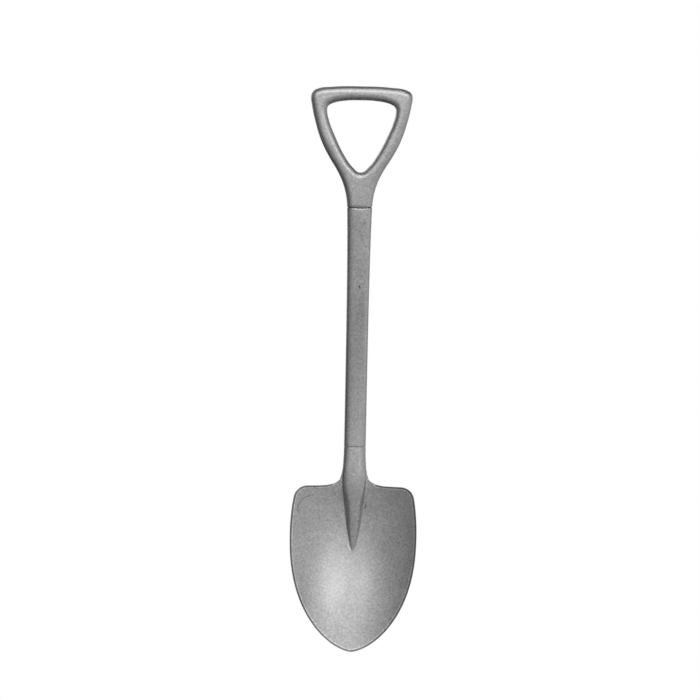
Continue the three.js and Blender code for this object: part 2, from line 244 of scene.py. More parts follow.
AT_HANG_POINT, AT_BLADE, ABOVE_GRIP = (0, 0, 0), (0, 0, -0.62), (0, 0, 0.3)
soft_box("grip_box", (0.0, -1.1, 0.5), ABOVE_GRIP, 0.85, 0.35, 3.7)
soft_box("top_box", (0.1, -0.6, 0.9), AT_HANG_POINT, 0.5, 0.3, 0.08, grid=40)
soft_box("side_box", (0.8, -1.1, 0.5), ABOVE_GRIP, 0.35, 0.35, 1.9)
soft_box("blade_box", (0.35, -1.1, -0.40), AT_BLADE, 0.35, 0.25, 0.037, grid=26)
soft_box("blade_fill", (-0.15, -1.1, -0.40), AT_BLADE, 0.35, 0.25, 0.0206, grid=26)
soft_box("back_box", (-1.3, 1.6, 0.6), (0, 0, -0.35), 1.0, 1.4, 6)

# %% [markdown]
# ## The floor
#
# A shovel with a point can't stand, so it is shown as it hangs, half a metre above a plain pale floor. The
# lamps are aimed at the steel, so the floor is a light table: white paper with a weak light of its own. It is
# kept out of the reflections, where a real studio would have a dark cloth.

# %% Floor
FLOOR_BELOW_TIP = 0.5
bpy.ops.mesh.primitive_plane_add(size=7, location=(0, 0, TIP - FLOOR_BELOW_TIP))
floor = bpy.context.object
floor.name = "floor"
floor.visible_glossy = False
floor.visible_diffuse = False
paper = bpy.data.materials.new("pale_paper")
paper.use_nodes = True
surface = paper.node_tree.nodes["Principled BSDF"].inputs
surface["Base Color"].default_value = (0.92, 0.92, 0.92, 1)
surface["Roughness"].default_value = 0.9
surface["Emission Color"].default_value = (1, 1, 1, 1)
surface["Emission Strength"].default_value = 0.5
floor.data.materials.append(paper)
print("floor at", round(floor.location.z, 3))

# %% [markdown]
# ## The shaft
#
# The shaft is a steel tube pressed to a squared oval, a little wider under the grip. Its lower end is swaged,
# which means squeezed smaller, so that it slips into the blade's socket and the outside stays flush.
#
# It is made the way a tube is drawn: one oval ring, extruded from station to station and scaled to the size
# that each station has. The chain of rings runs up the outside, over the rounded lip, down the inside and
# back to the start, where a bridge closes it, so the wall has its real thickness.

# %% The oval and its stations
OVAL_POWER = 2.9
SHAFT_HALF_DEPTH = 8.8
WALL = 1.6
SHEET = 2.0
CLEARANCE = 0.5
SOCKET_HALF_WIDTH = 13.4
SHAFT_TOP_HALF_WIDTH = 15.6
SWELL_REACH = 70  # how far below the grip the swell dies away


def shaft_half_width(z):
    """Half the tube's width: it swells under the grip."""
    swell = math.exp((z - SHAFT_TOP) / SWELL_REACH)
    return SOCKET_HALF_WIDTH + (SHAFT_TOP_HALF_WIDTH - SOCKET_HALF_WIDTH) * swell


def oval(angle):
    """A point of a squared oval that is one unit from the middle to each side."""
    c, s = math.cos(angle), math.sin(angle)
    x = math.copysign(abs(c) ** (2 / OVAL_POWER), c)
    y = math.copysign(abs(s) ** (2 / OVAL_POWER), s)
    return x, y


print("shaft is", round(2 * shaft_half_width(SHAFT_TOP), 1), "mm wide at the top,",
      round(2 * shaft_half_width(SHAFT_FOOT), 1), "mm at the foot")


# %% Rings: start one, extrude it to the next, close the chain
def deselect_everything():
    if bpy.context.mode != "OBJECT":
        bpy.ops.object.mode_set(mode="OBJECT")
    bpy.ops.object.select_all(action="DESELECT")


def only(piece):
    """Makes one piece the selected and active one."""
    deselect_everything()
    piece.select_set(True)
    bpy.context.view_layer.objects.active = piece


def first_ring(name, sides, station):
    """A squared oval of edges at the first station (z, half width, half depth, y), in edit mode."""
    deselect_everything()
    bpy.ops.mesh.primitive_circle_add(vertices=sides, radius=1, location=(0, 0, 0))
    piece = bpy.context.object
    piece.name = piece.data.name = name
    for v in piece.data.vertices:
        v.co.x, v.co.y = oval(math.atan2(v.co.y, v.co.x))
    z, half_width, half_depth, y = station
    bpy.ops.object.mode_set(mode="EDIT")
    bpy.ops.mesh.select_all(action="SELECT")
    size = (half_width * MM, half_depth * MM, 1)
    bpy.ops.transform.resize(value=size, center_override=(0, 0, 0))
    bpy.ops.transform.translate(value=place(0, y, z))
    return piece


def next_ring(before, station):
    """Extrudes the selected ring to its next station."""
    (z0, w0, d0, y0), (z1, w1, d1, y1) = before, station
    step = place(0, y1, z1) - place(0, y0, z0)
    bpy.ops.mesh.extrude_region_move(TRANSFORM_OT_translate={"value": step})
    bpy.ops.transform.resize(value=(w1 / w0, d1 / d0, 1), center_override=place(0, y1, z1))


def select_open_edges():
    bpy.ops.mesh.select_mode(type="EDGE")
    bpy.ops.mesh.select_all(action="DESELECT")
    bpy.ops.mesh.select_non_manifold()


def ring_chain(name, sides, stations):
    piece = first_ring(name, sides, stations[0])
    for before, station in zip(stations, stations[1:]):
        next_ring(before, station)
    return piece


def finish_mesh(piece, angle=40):
    """Back to object mode, with faces outwards and smooth shading across all but true edges."""
    if bpy.context.mode != "EDIT_MESH":
        only(piece)
        bpy.ops.object.mode_set(mode="EDIT")
    bpy.ops.mesh.select_all(action="SELECT")
    bpy.ops.mesh.remove_doubles(threshold=0.00001)
    bpy.ops.mesh.normals_make_consistent(inside=False)
    bpy.ops.object.mode_set(mode="OBJECT")
    bpy.ops.object.shade_smooth_by_angle(angle=math.radians(angle))
    print(piece.name, len(piece.data.polygons), "faces")
    return piece


print("ring tools ready")

# %% [markdown]
# The blade's ridge runs on into the front of the socket, and the swaged end of the shaft follows it from
# inside. So the line down the front of the ridge is needed here already: straight along the socket, then
# sloping back into the dish.

# %% The blade's main lines, used by the shaft's swaged end too
SHOULDER = 204.0
RIDGE_TIP = 0.609 * SHOULDER
RIDGE_TOP = SHOULDER + 17
DEEPEST = 0.637 * SHOULDER
DISH_DEPTH = 9.0 - HAIR
TIP_RISE = 23.0 - 2 * HAIR
HEEL_RISE = 7.0
CROSS_RADIUS = 150.0


def soft_max(a, b, r):
    """The larger of two values, rounded off where they cross."""
    return (a + b + math.hypot(a - b, r)) / 2


def soft_min(a, b, r):
    return -soft_max(-a, -b, r)


def mix(a, b, t):
    return a + (b - a) * t


def smooth(t, low, high):
    t = min(max((t - low) / (high - low), 0), 1)
    return t * t * (3 - 2 * t)


def dish(x, z):
    """How far behind the shaft's axis the dish lies."""
    if z < DEEPEST:
        rise = TIP_RISE * ((DEEPEST - z) / DEEPEST) ** 2
    else:
        rise = HEEL_RISE * ((z - DEEPEST) / (SHOULDER - DEEPEST)) ** 2
    return DISH_DEPTH - rise - x * x / (2 * CROSS_RADIUS)


def crest(z):
    """The line down the front of the socket and the ridge."""
    up = max(z - RIDGE_TIP, 0) / (RIDGE_TOP - RIDGE_TIP)
    slope = mix(dish(0, z), -SHAFT_HALF_DEPTH, up**0.95)
    return soft_max(-SHAFT_HALF_DEPTH, slope, 0.8)


print("ridge stands", round(dish(0, SHOULDER) - crest(SHOULDER), 1), "mm proud at the shoulders")


# %% The shaft tube
def shaft_station(z, inset=0.0):
    return z, shaft_half_width(z) - inset, SHAFT_HALF_DEPTH - inset, 0.0


def tenon_station(z, inset=0.0):
    """The swaged end, inside the socket: its front follows the ridge."""
    front = crest(z) + SHEET + CLEARANCE
    back = SHAFT_HALF_DEPTH - SHEET - CLEARANCE
    taper = TENON_TAPER * smooth(SOCKET_MOUTH - z, 20, TENON)
    half_width = SOCKET_HALF_WIDTH - SHEET - CLEARANCE - taper
    return z, half_width - inset, (back - front) / 2 - inset, (back + front) / 2


def lip(end, direction, radius):
    """Stations round the tube's outer edge, from the end face to the full section."""
    stations = []
    for step in range(6):
        turn = math.pi / 2 * step / 5
        z = end + direction * radius * (1 - math.cos(turn))
        stations.append(shaft_station(z, radius * (1 - math.sin(turn))))
    return stations


SHAFT_SIDES = 120
LIP = 0.55
TENON = 40
TENON_TAPER = 1.6
TENON_FOOT = SOCKET_MOUTH - TENON
outside = [tenon_station(TENON_FOOT, 0.5), tenon_station(TENON_FOOT + 0.5)]
outside += [tenon_station(TENON_FOOT + step) for step in (5, 10, 15, 20, 26, 32, 38)]
outside += [tenon_station(SHAFT_FOOT - 0.1)] + lip(SHAFT_FOOT, 1, 0.5)
outside += [shaft_station(mix(SHAFT_FOOT + 3, SHAFT_TOP - 9, step / 24)) for step in range(25)]
outside += [shaft_station(SHAFT_TOP - step) for step in (7, 5.5, 4.2, 3.2, 2.4, 1.6)]
outside += lip(SHAFT_TOP, -1, LIP)[::-1]
inside = [shaft_station(z, WALL) for z in (SHAFT_TOP, SHAFT_TOP - 40, SHAFT_FOOT + 5)]
inside += [tenon_station(z, WALL) for z in (SHAFT_FOOT, TENON_FOOT + 20, TENON_FOOT)]
shaft = ring_chain("shaft", SHAFT_SIDES, outside + inside)
select_open_edges()
bpy.ops.mesh.bridge_edge_loops()
finish_mesh(shaft)

# %% [markdown]
# ## The blade
#
# A real blade starts as a flat cut-out of steel sheet. A press gives it the hollow dish and the ridge, and
# the tongue at its top is rolled round until its edges almost meet at the back, which makes the socket.
#
# The dish, the ridge and the roll flow into each other, so this piece follows a few plain formulas instead of
# being pulled about by hand: a grid primitive is the flat sheet, and each of its points moves to the place
# that the press would give it. Solidify then gives the sheet its thickness towards the back, and a bevel
# rounds the rim, as tumbling does.

# %% The blade's outline
HALF_WIDTH = 77.5 - HAIR
WIDEST = 0.706 * SHOULDER
CORNER_RADIUS = 16.5
TIP_LIFT = SHEET * math.sin(math.atan(2 * TIP_RISE / DEEPEST))
WEB_TOP = SHOULDER + 8
SOCKET_CLOSED = SOCKET_MOUTH - 15
SEAM = 1.6
OUTLINE_START = WIDEST + 20


def blade_half_width(z):
    below = min(max(WIDEST - z, 0) / (WIDEST - TIP_LIFT), 1)
    above = max(z - WIDEST, 0) / (SHOULDER - WIDEST)
    return HALF_WIDTH * (1 - below**2.32) ** 0.62 - 6.5 * above**2


def shoulder_points():
    """From above the widest place, round the corner and along the shoulder, up to the web."""
    arc_start = SHOULDER - 0.85 * CORNER_RADIUS
    centre = blade_half_width(arc_start) - CORNER_RADIUS
    web = 1.34 * SOCKET_HALF_WIDTH
    points = []
    for i in range(4):
        z = mix(OUTLINE_START, arc_start, i / 4)
        points.append((blade_half_width(z), z))
    for i in range(7):
        turn = mix(0.16, math.pi / 2, i / 6)
        x = centre + CORNER_RADIUS * math.cos(turn)
        points.append((x, SHOULDER - CORNER_RADIUS * (1 - math.sin(turn))))
    for i in range(1, 13):
        x = mix(web, centre, (1 - i / 12) ** 2)
        points.append((x, SHOULDER + (WEB_TOP - SHOULDER) * math.exp((web - x) / 8)))
    return points


def through_points(points, per_span=24):
    """A smooth curve through the points, as many short steps."""
    curve = []
    for i in range(len(points) - 1):
        p0, p1, p2, p3 = (Vector(points[min(max(i + k, 0), len(points) - 1)]) for k in (-1, 0, 1, 2))
        for k in range(per_span):
            t = k / per_span
            a, b = (p2 - p0) / 2, (p3 - p1) / 2
            cubic, square = 2 * p1 - 2 * p2 + a + b, 3 * p2 - 3 * p1 - 2 * a - b
            curve.append(cubic * t**3 + square * t**2 + a * t + p1)
    return curve + [Vector(points[-1])]


path = through_points(shoulder_points())
lengths = [0.0]
for here, there in zip(path, path[1:]):
    lengths.append(lengths[-1] + (there - here).length)


def along_path(share):
    """The point at a share of the path's length."""
    target = min(share, 1) * lengths[-1]
    i = max(bisect.bisect_left(lengths, target), 1)
    t = (target - lengths[i - 1]) / (lengths[i] - lengths[i - 1])
    return tuple(path[i - 1].lerp(path[i], min(t, 1)))


print("edge from corner to socket:", round(lengths[-1], 1), "mm")


# %% Where the sheet's edge is at each row
def sheet_edge(z):
    """The end of the row that crosses the middle at height z, as x, y, z."""
    if z <= OUTLINE_START:
        edge_z = z + 8 * (1 - (z - TIP_LIFT) / (OUTLINE_START - TIP_LIFT))
        x = blade_half_width(edge_z)
        return x, dish(x, edge_z), edge_z
    if z <= WEB_TOP:
        x, edge_z = along_path((z - OUTLINE_START) / (WEB_TOP - OUTLINE_START))
        return x, dish(x, edge_z), edge_z
    corner_x, corner_z = path[-1]
    up = min((z - WEB_TOP) / (SOCKET_CLOSED - WEB_TOP), 1)
    t = mix(up, smooth(up, 0, 1), up)
    a, b, c = (1 - t) ** 2, 2 * t * (1 - t), t**2
    x = a * corner_x + b * 1.12 * SOCKET_HALF_WIDTH + c * SEAM / 2
    y = a * dish(corner_x, corner_z) + b * (SHAFT_HALF_DEPTH + 0.5) + c * SHAFT_HALF_DEPTH
    return x, y, z


def ridge_half_width(z):
    up = max(z - RIDGE_TIP, 0) / (RIDGE_TOP - RIDGE_TIP)
    ridge = 1.17 * SOCKET_HALF_WIDTH * up**0.55
    socket = SOCKET_HALF_WIDTH + 2.4 * math.exp((RIDGE_TOP - z) / 11)
    return soft_min(ridge, socket, 1.2)


for z in (10, 100, 180, 210, 250):
    print("row", z, "ends at", tuple(round(v, 1) for v in sheet_edge(z)))


# %% The pressed face
BAND = 0.42  # share of a row's points on the ridge or the socket's front
ROW_BEND = 1.61  # how the rows bow towards the rim


def side_wall(z):
    """0 in the dish, 1 where the socket has sides."""
    return smooth(z, SHOULDER - 24, WEB_TOP + 2)


def ridge_lift(x, z):
    """How much of the ridge's height a point has: 1 on its top line and 0 beside it."""
    if z <= RIDGE_TIP:
        return 0
    wall = side_wall(z)
    across = min(abs(x) / max(ridge_half_width(z), 0.01), 4)
    return soft_max(1 - across**3, 0, 0.06 * (1 - wall)) ** (1 / mix(1, OVAL_POWER, wall))


def pressed_face(x, z):
    return dish(x, z) + (crest(z) - dish(0, z)) * ridge_lift(x, z)


def ridge_face(x, z):
    """The ridge and the socket's front. Their ground comes forward as the socket's sides form."""
    wall = side_wall(z)
    return dish(x, z) * (1 - wall) + (crest(z) - dish(0, z) * (1 - wall)) * ridge_lift(x, z)


def band_half_width(z, edge_x):
    """Half the width of the band of points that holds the ridge, and spreads out below it."""
    spread = 0.3 * edge_x * smooth(RIDGE_TIP + 8 - z, 0, RIDGE_TIP)
    held = 0.1 * ridge_half_width(z) * smooth(z, 180, RIDGE_TOP)
    return soft_max(1.1 * ridge_half_width(z), 3 + spread, 1) - held


def sheet_face(across, z):
    """A point of the front face. across runs from -1 to 1 over the row, and z is its height at the middle."""
    side, along = math.copysign(1, across), abs(across)
    edge_x, edge_y, edge_z = sheet_edge(z)
    wall, wrap = side_wall(z), smooth(z, WEB_TOP, SOCKET_CLOSED)
    inner = band_half_width(z, edge_x)
    in_blade = z <= OUTLINE_START
    if along <= BAND:
        x = math.sin(along / BAND * math.pi / 2) ** 0.8 * inner
        row_z = z + (edge_z - z) * (x / edge_x) ** ROW_BEND if in_blade else z
        return side * x, ridge_face(x, row_z), row_z
    t = (along - BAND) / (1 - BAND)
    a, b, c = (1 - t) ** 2, 2 * t * (1 - t), t**2
    root_y = ridge_face(inner, z)
    bend_x = inner + 1.2 * (1 - wrap)
    bend_y = mix(dish(bend_x, z), SHAFT_HALF_DEPTH, wrap)
    x = mix(mix(inner, edge_x, t), a * inner + b * bend_x + c * edge_x, wall)
    row_z = z + (edge_z - z) * (x / edge_x) ** ROW_BEND if in_blade else mix(z, edge_z, t)
    dished = pressed_face(x, row_z) + (root_y - pressed_face(inner, z)) * (1 - t) ** 6
    return side * x, mix(dished, a * root_y + b * bend_y + c * edge_y, wall), row_z


print("deepest point of the dish:", round(max(dish(0, z) for z in range(200)), 2), "mm behind the axis")


# %% Rows, closest together round the shoulders and the web
def row_heights():
    def shoulder_row(share):
        return mix(OUTLINE_START, WEB_TOP, share)

    stretches = [(TIP_LIFT, 50), (RIDGE_TIP, 26), (shoulder_row(0), 10), (shoulder_row(0.18), 22)]
    stretches += [(shoulder_row(0.45), 22), (shoulder_row(0.78), 30), (WEB_TOP, 40), (SOCKET_MOUTH, 0)]
    heights = []
    for (low, count), (high, _) in zip(stretches, stretches[1:]):
        heights += [mix(low, high, i / count) for i in range(count)]
    return heights + [SOCKET_MOUTH]


rows = row_heights()
COLUMNS = 150
deselect_everything()
bpy.ops.mesh.primitive_grid_add(
    x_subdivisions=COLUMNS, y_subdivisions=len(rows) - 1, size=2, location=(0, 0, 0))
blade = bpy.context.object
blade.name = blade.data.name = "blade_sheet"
for v in blade.data.vertices:
    row = round((v.co.y + 1) / 2 * (len(rows) - 1))
    v.co = place(*sheet_face(v.co.x, rows[row]))
print("sheet:", len(blade.data.vertices), "points in", len(rows), "rows")


# %% Distance from the rim
def boundary_points(mesh):
    """Points along the sheet's edge, four to each edge of the grid."""
    uses = {}
    for face in mesh.polygons:
        for key in face.edge_keys:
            uses[key] = uses.get(key, 0) + 1
    points = []
    for (a, b), count in uses.items():
        if count == 1:
            ends = mesh.vertices[a].co, mesh.vertices[b].co
            points += [ends[0].lerp(ends[1], k / 4) for k in range(4)]
    return points


def store_rim_distance(piece):
    """Keeps each point's distance from the sheet's edge, in millimetres, for the rim's painted shade and
    highlight.
    """
    points = boundary_points(piece.data)
    tree = KDTree(len(points))
    for i, point in enumerate(points):
        tree.insert(point, i)
    tree.balance()
    rim = piece.data.attributes.new("rim", "FLOAT", "POINT")
    for i, v in enumerate(piece.data.vertices):
        in_socket = max(height_of(v.co.z) - SHOULDER - 1, 0)  # the rim's painted shade and highlight end at the socket
        rim.data[i].value = tree.find(v.co)[2] / MM + in_socket
    return len(points)


print("rim measured from", store_rim_distance(blade), "points")


# %% Thickness and rounded rim
def apply_modifier(piece, kind, name, **settings):
    """Adds a modifier, sets it up and applies it."""
    only(piece)
    modifier = piece.modifiers.new(name, kind)
    for key, value in settings.items():
        setattr(modifier, key, value)
    bpy.ops.object.modifier_apply(modifier=modifier.name)
    print(name, "->", len(piece.data.polygons), "faces")


facing = sum(p.normal.y for p in blade.data.polygons)
only(blade)
if facing > 0:
    bpy.ops.object.mode_set(mode="EDIT")
    bpy.ops.mesh.select_all(action="SELECT")
    bpy.ops.mesh.flip_normals()
    bpy.ops.object.mode_set(mode="OBJECT")
apply_modifier(blade, "SOLIDIFY", "sheet_thickness", thickness=SHEET * MM, offset=-1)
RIM_ROUNDING = 0.8
apply_modifier(blade, "BEVEL", "tumbled_rim", width=RIM_ROUNDING * MM, segments=4, limit_method="ANGLE",
               angle_limit=math.radians(60))
finish_mesh(blade, 50)
rims = [value.value for value in blade.data.attributes["rim"].data]
print("rim distance kept:", round(min(rims), 2), "to", round(max(rims), 1), "mm")

# %% [markdown]
# ## The grip
#
# The grip is one casting: a closed D with nearly round bars, and a neck that flattens out of the shaft's own
# oval. A pattern maker would cut the shape from a board and round it over, so it is made the same way. Two
# closed curves, the outside and the finger opening, are filled as a board and given a deep round bevel.
# The neck and the tenon are drawn as rings. A voxel remesh then fuses the pieces into one skin, and a light
# smoothing gives the soft corners of a casting.

# %% The board: outside and finger opening
OUTSIDE = [(0, TOP), (36, TOP - 1.1), (56.6, TOP - 4.4), (61.6, TOP - 8.2), (63.1, TOP - 14)]
OUTSIDE += [(62, TOP - 22.5), (57.2, TOP - 44), (48.9, TOP - 69), (39.4, TOP - 87.5), (28.1, TOP - 106)]
OUTSIDE += [(20.3, TOP - 123.5), (16.5, TOP - 140), (15.6, TOP - 150), (15.2, TOP - 164)]
OPENING = [(0, TOP - 17.4), (20, TOP - 18.3), (36, TOP - 21.8), (41.6, TOP - 25.6), (42.5, TOP - 30.5)]
OPENING += [(39.6, TOP - 44), (31.9, TOP - 63), (20.4, TOP - 85.6), (9.6, TOP - 100.4), (0, TOP - 106.9)]
BAR_HALF_DEPTH = 8.6
ROUNDING = 7.8


def both_sides(half):
    """A closed outline from its right half. Its first point is on the axis, and perhaps its last one."""
    return half + [(-x, z) for x, z in reversed(half) if x > 0]


def draw_board():
    deselect_everything()
    bpy.ops.curve.primitive_bezier_circle_add(radius=1, location=(0, 0, 0))
    board = bpy.context.object
    board.name = "grip_board"
    curve = board.data
    curve.dimensions = "2D"
    curve.fill_mode = "BOTH"
    curve.resolution_u = 10
    curve.splines.clear()
    for half in (OUTSIDE, OPENING):
        points = both_sides(half)
        spline = curve.splines.new("BEZIER")
        spline.bezier_points.add(len(points) - 1)
        for point, (x, z) in zip(spline.bezier_points, points):
            point.co = (x * MM, z * MM + TIP, 0)
            point.handle_left_type = point.handle_right_type = "AUTO"
        spline.use_cyclic_u = True
    curve.extrude = (BAR_HALF_DEPTH - ROUNDING) * MM
    curve.bevel_depth = ROUNDING * MM
    curve.offset = -ROUNDING * MM
    curve.bevel_resolution = 8
    board.rotation_euler.x = math.radians(90)
    bpy.ops.object.convert(target="MESH")
    bpy.ops.object.transform_apply(location=False, rotation=True, scale=False)
    return bpy.context.object


board = draw_board()
print("board:", len(board.data.polygons), "faces", [round(v, 4) for v in board.dimensions])


# %% Cut the board: flat back, square foot
def cut_away(piece, point, outwards):
    """Cuts off what lies beyond a plane, and closes the cut."""
    only(piece)
    bpy.ops.object.mode_set(mode="EDIT")
    bpy.ops.mesh.select_all(action="SELECT")
    bpy.ops.mesh.bisect(plane_co=point, plane_no=outwards, use_fill=True, clear_outer=True)
    bpy.ops.object.mode_set(mode="OBJECT")


BACK_LAND = 7.3
only(board)
bpy.ops.object.mode_set(mode="EDIT")
bpy.ops.mesh.select_all(action="SELECT")
bpy.ops.mesh.remove_doubles(threshold=0.00001)
bpy.ops.mesh.normals_make_consistent(inside=False)
bpy.ops.object.mode_set(mode="OBJECT")
cut_away(board, place(0, BACK_LAND, 0), (0, 1, 0))
cut_away(board, place(0, 0, GRIP_FOOT + 0.4), (0, 0, -1))
print("board after cutting:", [round(v, 4) for v in board.dimensions])


# %% Neck and tenon, as rings
NECK = 42


def neck_station(z):
    """The shaft's own section at the joint, sinking into the flat board above it."""
    up = min(max(z - GRIP_FOOT, 0) / NECK, 1)
    half_depth = mix(SHAFT_HALF_DEPTH, 0.7 * BACK_LAND, up * up)
    return z, SHAFT_TOP_HALF_WIDTH - 0.6 * up, half_depth, 0.0


def grip_tenon_station(z, inset=0.0):
    gap = WALL + CLEARANCE + inset
    return z, shaft_half_width(min(z, SHAFT_TOP)) - gap, SHAFT_HALF_DEPTH - gap, 0.0


def solid_chain(name, stations):
    """A chain of rings with both ends closed."""
    piece = ring_chain(name, GRIP_SIDES, stations)
    select_open_edges()
    bpy.ops.mesh.fill_holes(sides=0)
    return finish_mesh(piece)


GRIP_SIDES = 72
neck_steps = (0, 3, 8, 14, 20, 26, 32, 37, NECK)
neck = solid_chain("grip_neck", [neck_station(GRIP_FOOT + step) for step in neck_steps])
tenon_steps = (-45, -40, -20, -4, 6)
tenon = solid_chain("grip_tenon", [grip_tenon_station(GRIP_FOOT + step) for step in tenon_steps])

# %% Fuse into one casting
only(board)
neck.select_set(True)
tenon.select_set(True)
bpy.ops.object.join()
grip = bpy.context.object
grip.name = grip.data.name = "grip_casting"
SKIN_STEP = 0.6
apply_modifier(grip, "REMESH", "fuse", mode="VOXEL", voxel_size=SKIN_STEP * MM)
apply_modifier(grip, "SMOOTH", "cast_skin", factor=0.5, iterations=9)
finish_mesh(grip, 60)
print("grip box:", [round(v, 4) for v in grip.dimensions])

# %% [markdown]
# ## The crease between grip and shaft
#
# The tube's end is pressed home against the casting, and the pressing leaves the joint a little bowed at the
# front: its middle sits a millimetre lower than its ends. The casting's edge is pressed in by about a
# millimetre and the tube's edge hardly at all, which leaves a dark crease with a lit edge below it.

# %% Bow the joint
BOW_REACH = 12  # how far from the joint the bow is felt


def bow_joint(piece, joint, bow, push, reach):
    """Bends a joint's line down at the front and presses its edge in over a few millimetres."""
    for v in piece.data.vertices:
        x, y, z = v.co.x / MM, v.co.y / MM, height_of(v.co.z)
        away = abs(z - joint)
        if away > BOW_REACH or y > 0:
            continue
        across = max(1 - (x / SHAFT_TOP_HALF_WIDTH) ** 2, 0)
        front = smooth(-y, 2, SHAFT_HALF_DEPTH - 1)
        drop = bow * across * front * (1 - smooth(away, 2, BOW_REACH))
        press = push * across * front * math.exp(-((away / reach) ** 2))
        v.co = place(x, y + press, z - drop)


bow_joint(grip, GRIP_FOOT, bow=1.2, push=1.2, reach=1.8)
bow_joint(shaft, SHAFT_TOP, bow=1.4, push=0.2, reach=1.2)
print("joint bowed by 1.2 mm above the line and 1.4 mm below it")

# %% [markdown]
# ## The cross pins
#
# Two pins hold the shaft in the socket and two hold the grip in the shaft. They run from side to side, where
# they don't show from the front, and are ground flush. Each one is a cylinder with its two rims bevelled. A
# slightly thicker copy of it drills the holes.

# %% Pins and their holes
PIN_RADIUS = 2.4
PIN_CLEARANCE = 0.2
PIN_FLUSH = 0.15


def round_bar(name, radius, half_length, z):
    deselect_everything()
    bpy.ops.mesh.primitive_cylinder_add(
        vertices=48, radius=radius * MM, depth=2 * half_length * MM,
        location=place(0, 0, z), rotation=(0, math.radians(90), 0))
    piece = bpy.context.object
    piece.name = piece.data.name = name
    bpy.ops.object.transform_apply(location=True, rotation=True, scale=False)
    return piece


def drill(piece, heights):
    for z in heights:
        cutter = round_bar("drill", PIN_RADIUS + PIN_CLEARANCE, 30, z)
        apply_modifier(piece, "BOOLEAN", "pin_hole", operation="DIFFERENCE", object=cutter, solver="EXACT")
        bpy.data.objects.remove(cutter)


def pin(name, z, half_width):
    """A pin whose ends follow the surface around them, which is half_width(z) from the axis."""
    piece = round_bar(name + "_pin", PIN_RADIUS, 10, z)
    for v in piece.data.vertices:
        y, height = v.co.y / MM, height_of(v.co.z)
        surface = half_width(height) * (1 - abs(y / SHAFT_HALF_DEPTH) ** OVAL_POWER) ** (1 / OVAL_POWER)
        v.co.x = math.copysign(surface - PIN_FLUSH, v.co.x) * MM
    apply_modifier(piece, "BEVEL", "ground_rim", width=0.35 * MM, segments=3, limit_method="ANGLE",
                   angle_limit=math.radians(50))
    return finish_mesh(piece)


def pin_height(node):
    low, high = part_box(node)
    return height_of((low.z + high.z) / 2)


grip_pins = [pin_height("grip_pin_upper"), pin_height("grip_pin_lower")]
socket_pins = [pin_height("socket_pin_upper"), pin_height("socket_pin_lower")]
drill(shaft, grip_pins + socket_pins)
drill(grip, grip_pins)
drill(blade, socket_pins)
pins = {node: pin(node, pin_height(node), shaft_half_width) for node in ("grip_pin_upper", "grip_pin_lower")}
for node in ("socket_pin_upper", "socket_pin_lower"):
    pins[node] = pin(node, pin_height(node), ridge_half_width)
for piece in (shaft, grip, blade):
    only(piece)
    bpy.ops.object.shade_smooth_by_angle(angle=math.radians(45))
print("pins at", [round(z, 1) for z in grip_pins + socket_pins])

# %% [markdown]
# ## The finish
#
# Tumbling rolls the steel in a drum of stones for hours. It takes off the shine and the sharp edges, and
# leaves a fine even mottle of tiny dents, with a few short bright scuffs and the odd deeper pit.
#
# Each of these marks is a shader group with its own named sockets, so that the casting, the sheet and the
# pins share them and only the amounts differ. The groups read the object's own coordinates, in metres.

# %% Group: tumbled grain
def tumbled_grain():
    """Overlapping dents of two sizes. Shade runs from -1 to 1, Height from 0 to 1."""
    group, start, end = new_group(
        "tumbled grain",
        [("Place", "NodeSocketVector", None), ("Dent Size", "NodeSocketFloat", 0.002)],
        ["Shade", "Height"])
    where = start.outputs["Place"]
    scale = maths(group, "DIVIDE", 1.0, start.outputs["Dent Size"])
    broad = noise(group, where, scale, 2.0, 0.6, 0.4)
    fine = noise(group, where, maths(group, "MULTIPLY", scale, 2.3), 2.0, 0.6)
    cells = group.nodes.new("ShaderNodeTexVoronoi")
    feed(group, cells.inputs["Vector"], where)
    feed(group, cells.inputs["Scale"], maths(group, "MULTIPLY", scale, 1.2))
    dents = span(group, cells.outputs["Distance"], 0.0, 0.8)
    finest = noise(group, where, maths(group, "MULTIPLY", scale, 6.0), 1.0, 0.5)
    mottle = maths(group, "ADD", maths(group, "MULTIPLY", broad, 0.45), maths(group, "MULTIPLY", fine, 0.35))
    mottle = maths(group, "ADD", mottle, maths(group, "MULTIPLY", finest, 0.2))
    feed(group, end.inputs["Shade"], span(group, mottle, 0.34, 0.66, -1.0, 1.0))
    feed(group, end.inputs["Height"],
         maths(group, "ADD", maths(group, "MULTIPLY", mottle, 0.6), maths(group, "MULTIPLY", dents, 0.4)))
    return group


GRAIN = tumbled_grain()
print("group:", GRAIN.name)


# %% Group: scuffs
def scuffs():
    """Short wandering hairlines, where the stones have dragged. Line is 1 on a scuff and 0 elsewhere."""
    group, start, end = new_group(
        "scuffs",
        [("Place", "NodeSocketVector", None), ("Spacing", "NodeSocketFloat", 0.006),
         ("Width", "NodeSocketFloat", 0.02)],
        ["Line"])
    where = start.outputs["Place"]
    scale = maths(group, "DIVIDE", 1.0, start.outputs["Spacing"])
    field = noise(group, where, scale, 1.0, 0.5, 1.6)
    off_centre = maths(group, "ABSOLUTE", maths(group, "SUBTRACT", field, 0.5))
    line = maths(group, "SUBTRACT", 1.0, maths(group, "DIVIDE", off_centre, start.outputs["Width"]))
    line = maths(group, "MAXIMUM", line, 0.0)
    pieces = span(group, noise(group, where, maths(group, "MULTIPLY", scale, 1.7)), 0.52, 0.62)
    feed(group, end.inputs["Line"], maths(group, "MULTIPLY", line, pieces))
    return group


SCUFFS = scuffs()
print("group:", SCUFFS.name)


